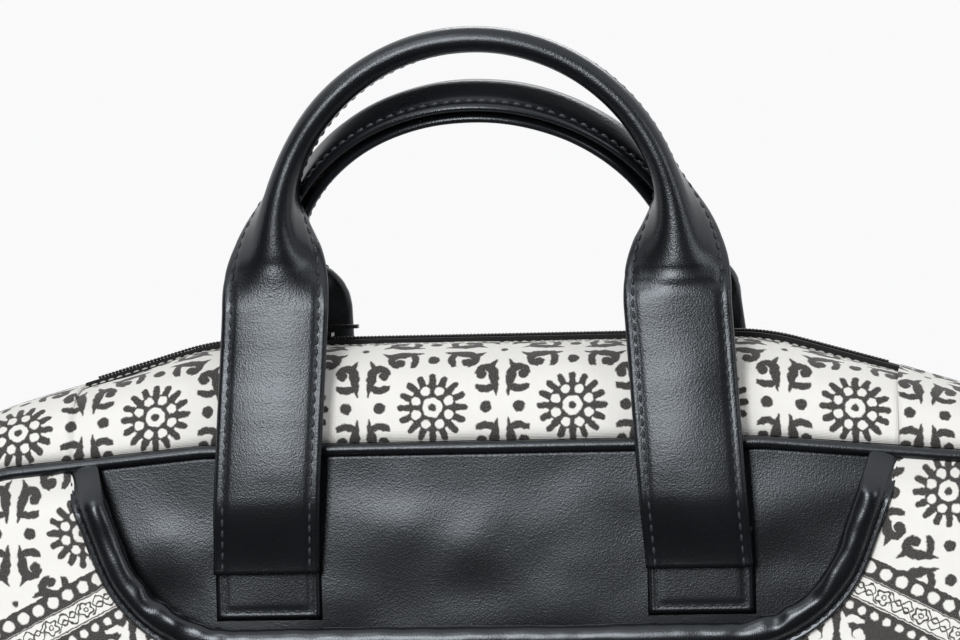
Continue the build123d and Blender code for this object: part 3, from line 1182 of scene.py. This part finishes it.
def coil(name, side, node):
    """One half of the coil: wire turns across the tape that meet the other half in the middle."""
    xs = spread(-coil_half_length, coil_half_length, int(2 * coil_half_length / coil_pitch))
    vertices, faces = [], []
    ring, steps = 7, 6
    low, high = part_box(node)
    outer_y = max(abs(low.y), abs(high.y))
    for x in xs:
        x += coil_pitch / 4 * side
        z = height_at(ridge_outline, x, True) + coil_rise
        slope = height_at(ridge_outline, x + MM, True) - height_at(ridge_outline, x - MM, True)
        along = Vector((2 * MM, 0, slope)).normalized()
        up = Vector((-along.z, 0, along.x))
        first = len(vertices)
        for step in range(steps):
            t = step / (steps - 1)
            y = side * (outer_y + (coil_gap - outer_y) * t)
            swell = wire_end_share + (1 - wire_end_share) * math.sin(math.pi * min(1.0, t * 1.1))
            centre = Vector((x, y, z)) + up * coil_arch * math.sin(math.pi * (0.15 + 0.75 * t))
            for r in range(ring):
                turn = 2 * math.pi * r / ring
                round_wire = along * math.cos(turn) * wire_half_width + up * math.sin(turn) * wire_half_height
                vertices.append(centre + round_wire * swell)
        faces += tube_faces(steps, ring, first)
    obj = mesh_object(name, vertices, faces, coil_nylon)
    fix_normals(obj)
    return link(obj, "bag", "zip_coil", node)


# Pieces

gusset_rosette = (-18 * MM, 12.5 * MM)
back_gusset_rosette = (8 * MM, 15 * MM)
back_rosette = (0.0, 142 * MM)
top_gusset("top_gusset_front", -1, print_material("gusset_print", *gusset_rosette))
top_gusset("top_gusset_back", 1, print_material("gusset_back_print", *back_gusset_rosette))
side_print = print_material("side_print", *gusset_rosette)
side_gusset("side_gusset_left", -1, side_print)
side_gusset("side_gusset_right", 1, side_print)
base_cover("base_panel")
flat_panel("front_panel", -1, leather, "leatherette", front_sag, 41)
flat_panel("back_panel", 1, print_material("back_print", *back_rosette), "print_canvas", back_sag, 43)
pocket("pocket_panel", border_print_material("pocket_print"))
binding("binding_roll")
handle("front_handle", "front_handle", -1)
handle("back_handle", "back_handle", 1)
for position, face in (("front", -1), ("back", 1)):
    coil(f"coil_{position}", face, f"zip_coil_{position}")
    for hand in ("left", "right"):
        patch(f"{position}_{hand}_patch", f"{position}_patch_{hand}", face)


# Finishes of the pieces that keep their solid shape

metal_bevel = 0.25 * MM


def finish_node(node, material, bevel=0.0):
    obj = frame["nodes"][node]
    obj.data.materials.clear()
    obj.data.materials.append(material)
    if bevel:
        edge = obj.modifiers.new("rounded_edges", "BEVEL")
        edge.width = bevel
        edge.segments = 3
        edge.limit_method = "ANGLE"


for position in ("front", "back"):
    finish_node(f"piping_{position}", leather)
    finish_node(f"zip_tape_{position}", tape_cloth)
    finish_node(f"foam_{position}", padding_cloth)
    finish_node(f"{position}_handle_core", cord_cotton)
finish_node("laptop_divider", padding_cloth)
finish_node("base_board", board_plastic)
for hand in ("left", "right"):
    finish_node(f"zip_slider_{hand}", enamel, metal_bevel)
    finish_node(f"zip_pull_{hand}", enamel, metal_bevel)


# Floor, world, lamps and camera

floor_half = 1.2


def floor():
    g = Graph("pale_floor")
    where = g.node("ShaderNodeTexCoord").outputs["Object"]
    shade = g.mix(g.noise(where, 3.0), (0.80, 0.80, 0.80, 1), (0.83, 0.83, 0.83, 1))
    g.put(g.shader.inputs["Base Color"], shade)
    g.shader.inputs["Roughness"].default_value = 0.9
    g.shader.inputs["Specular IOR Level"].default_value = 0.0
    half = floor_half
    corners = [(-half, -half, 0), (half, -half, 0), (half, half, 0), (-half, half, 0)]
    obj = mesh_object("floor", corners, [(0, 1, 2, 3)], g.material)


def world():
    """White for the eye and in reflections, and a softer level for the light it gives."""
    made = bpy.data.worlds.new("studio")
    bpy.context.scene.world = made
    made.use_nodes = True
    tree = made.node_tree
    background = tree.nodes["Background"]
    background.inputs["Color"].default_value = (0.95, 0.95, 0.96, 1)
    path = tree.nodes.new("ShaderNodeLightPath")
    seen = None
    for name in ("Is Camera Ray", "Is Glossy Ray", "Is Transmission Ray"):
        if seen is None:
            seen = path.outputs[name]
            continue
        both = tree.nodes.new("ShaderNodeMath")
        both.operation = "MAXIMUM"
        tree.links.new(seen, both.inputs[0])
        tree.links.new(path.outputs[name], both.inputs[1])
        seen = both.outputs[0]
    level = tree.nodes.new("ShaderNodeMapRange")
    level.inputs["To Min"].default_value = 0.4
    level.inputs["To Max"].default_value = 1.0
    tree.links.new(seen, level.inputs["Value"])
    tree.links.new(level.outputs[0], background.inputs["Strength"])


def screen(name, rows):
    """Dark studio card in front of the bag that only reflections see, so that black leather stays black."""
    vertices = [p for row in rows for p in row]
    dark = plain_material(name, (0.03, 0.03, 0.03), 0.9, grain_scale=4.0)
    obj = mesh_object(name, vertices, grid_faces(len(rows), len(rows[0])), dark)
    obj.visible_camera = False
    obj.visible_diffuse = False
    obj.visible_shadow = False


def round_screen(radius, low, high, reach):
    """Two rows of points of an upright screen round the front of the bag."""
    return [[Vector((radius * math.sin(t), -radius * math.cos(t), z)) for t in spread(-reach, reach, 24)]
            for z in (low, high)]


def lamp(name, place, target, size, power):
    data = bpy.data.lights.new(name, "AREA")
    data.shape = "RECTANGLE"
    data.size, data.size_y = size
    data.energy = power
    obj = bpy.data.objects.new(name, data)
    obj.location = place
    obj.rotation_euler = (Vector(target) - Vector(place)).to_track_quat("-Z", "Y").to_euler()
    bpy.context.scene.collection.objects.link(obj)


def camera():
    """Long lens, a little to the right and above, framed on the top of the bag."""
    azimuth, elevation, roll = math.radians(6.4), math.radians(2.4), math.radians(-1.5)
    distance, lens, sensor = 1.74, 176.0, 36.0
    target = Vector((1.4 * MM, -43 * MM, 330 * MM))
    away = Vector((math.sin(azimuth) * math.cos(elevation), -math.cos(azimuth) * math.cos(elevation),
                   math.sin(elevation)))
    data = bpy.data.cameras.new("camera")
    data.lens = lens
    data.sensor_width = sensor
    data.clip_start = 0.05
    obj = bpy.data.objects.new("camera", data)
    obj.location = target + away * distance
    turn = (-away).to_track_quat("-Z", "Y").to_matrix() @ Matrix.Rotation(roll, 3, "Z")
    obj.rotation_euler = turn.to_euler()
    bpy.context.scene.collection.objects.link(obj)
    bpy.context.scene.camera = obj


floor()
world()
screen("dark_screen", round_screen(3.2, 0.02, 2.6, math.radians(75)))
screen("low_screen", round_screen(1.12, 0.002, 0.3, math.radians(65)))
screen("floor_card", [[Vector((x, y, 0.002)) for x in (-0.9, 0.9)] for y in (-0.12, -1.1)])
middle = (0.0, 0.0, 0.25)
lamp("key", (-0.7, -1.4, 1.75), middle, (0.8, 0.6), 6.0)
lamp("front", (-0.35, -2.0, 0.92), middle, (0.45, 0.95), 25.0)
lamp("fill", (1.4, -1.2, 0.9), middle, (0.5, 0.8), 5.0)
lamp("rim", (0.2, 1.2, 1.5), middle, (1.2, 0.5), 12.0)
camera()
bpy.context.scene.view_settings.view_transform = "Standard"
